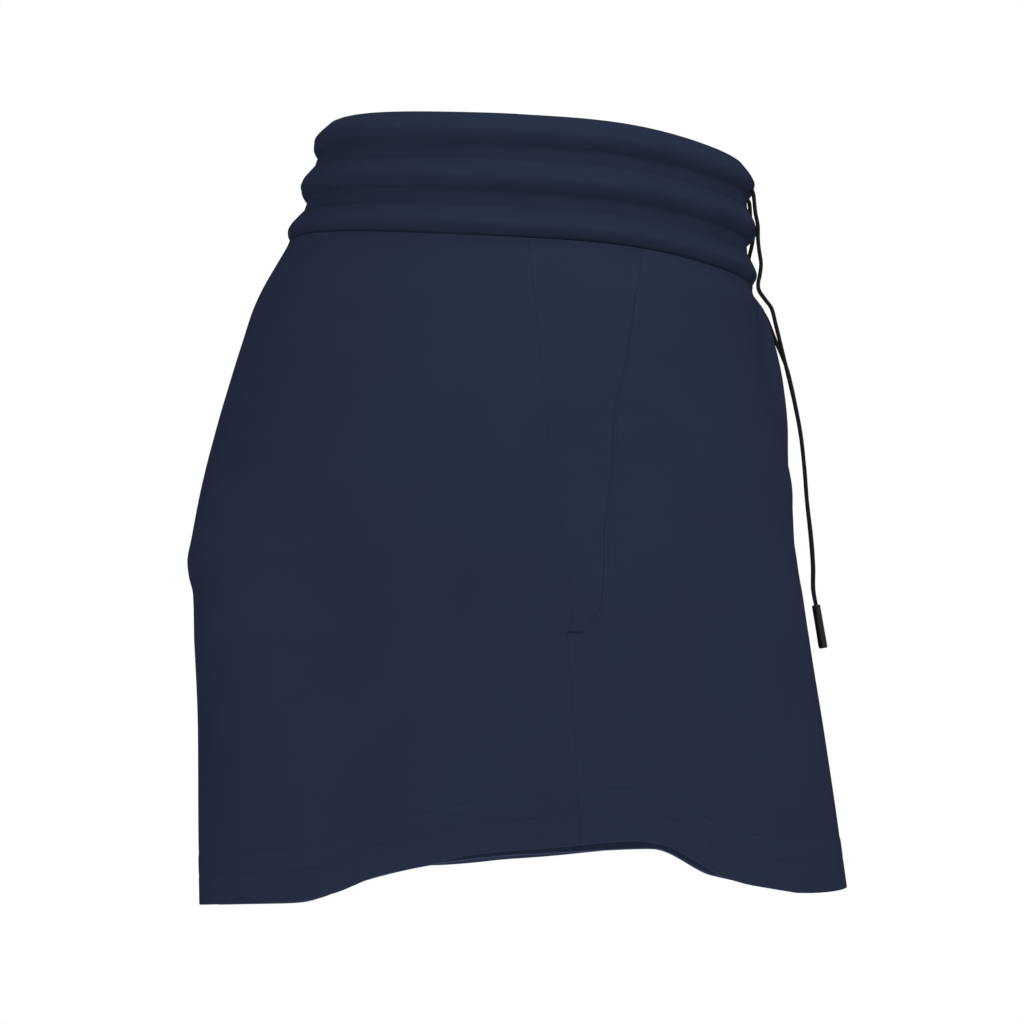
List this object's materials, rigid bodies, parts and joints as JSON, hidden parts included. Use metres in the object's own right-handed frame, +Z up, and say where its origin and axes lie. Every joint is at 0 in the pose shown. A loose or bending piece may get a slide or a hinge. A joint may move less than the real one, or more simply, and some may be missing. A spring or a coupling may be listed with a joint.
{
  "type": "tennis shorts",
  "caption": "Loose tennis shorts filled out as when worn, with a puffed elastic waistband, slanted side pockets, turned-up hems and a drawcord whose ends hang free.",
  "frame": {"origin": "middle of the waistband, halfway up it, where the wearer's waist holds the shorts up", "axes": "+Z up, -Y out of the front of the garment, -X towards the wearer's right"},
  "size_m": [0.371, 0.3046, 0.3674],
  "materials": {
    "panel_cloth": "matt fine woven polyester with a little stretch",
    "band_cloth": "the same cloth, drawn in over elastic",
    "cord": "braided matt cord",
    "cord_tip": "satin black sleeve"
  },
  "bodies": {
    "root": {"waistband": "band_cloth", "front_right": "panel_cloth", "front_left": "panel_cloth", "back_right": "panel_cloth", "back_left": "panel_cloth", "pocket_facing_right": "panel_cloth", "pocket_facing_left": "panel_cloth", "drawcord_right": "cord", "drawcord_left": "cord", "cord_tip_right": "cord_tip", "cord_tip_left": "cord_tip", "eyelet_right": "band_cloth", "eyelet_left": "band_cloth"}
  },
  "joints": []
}
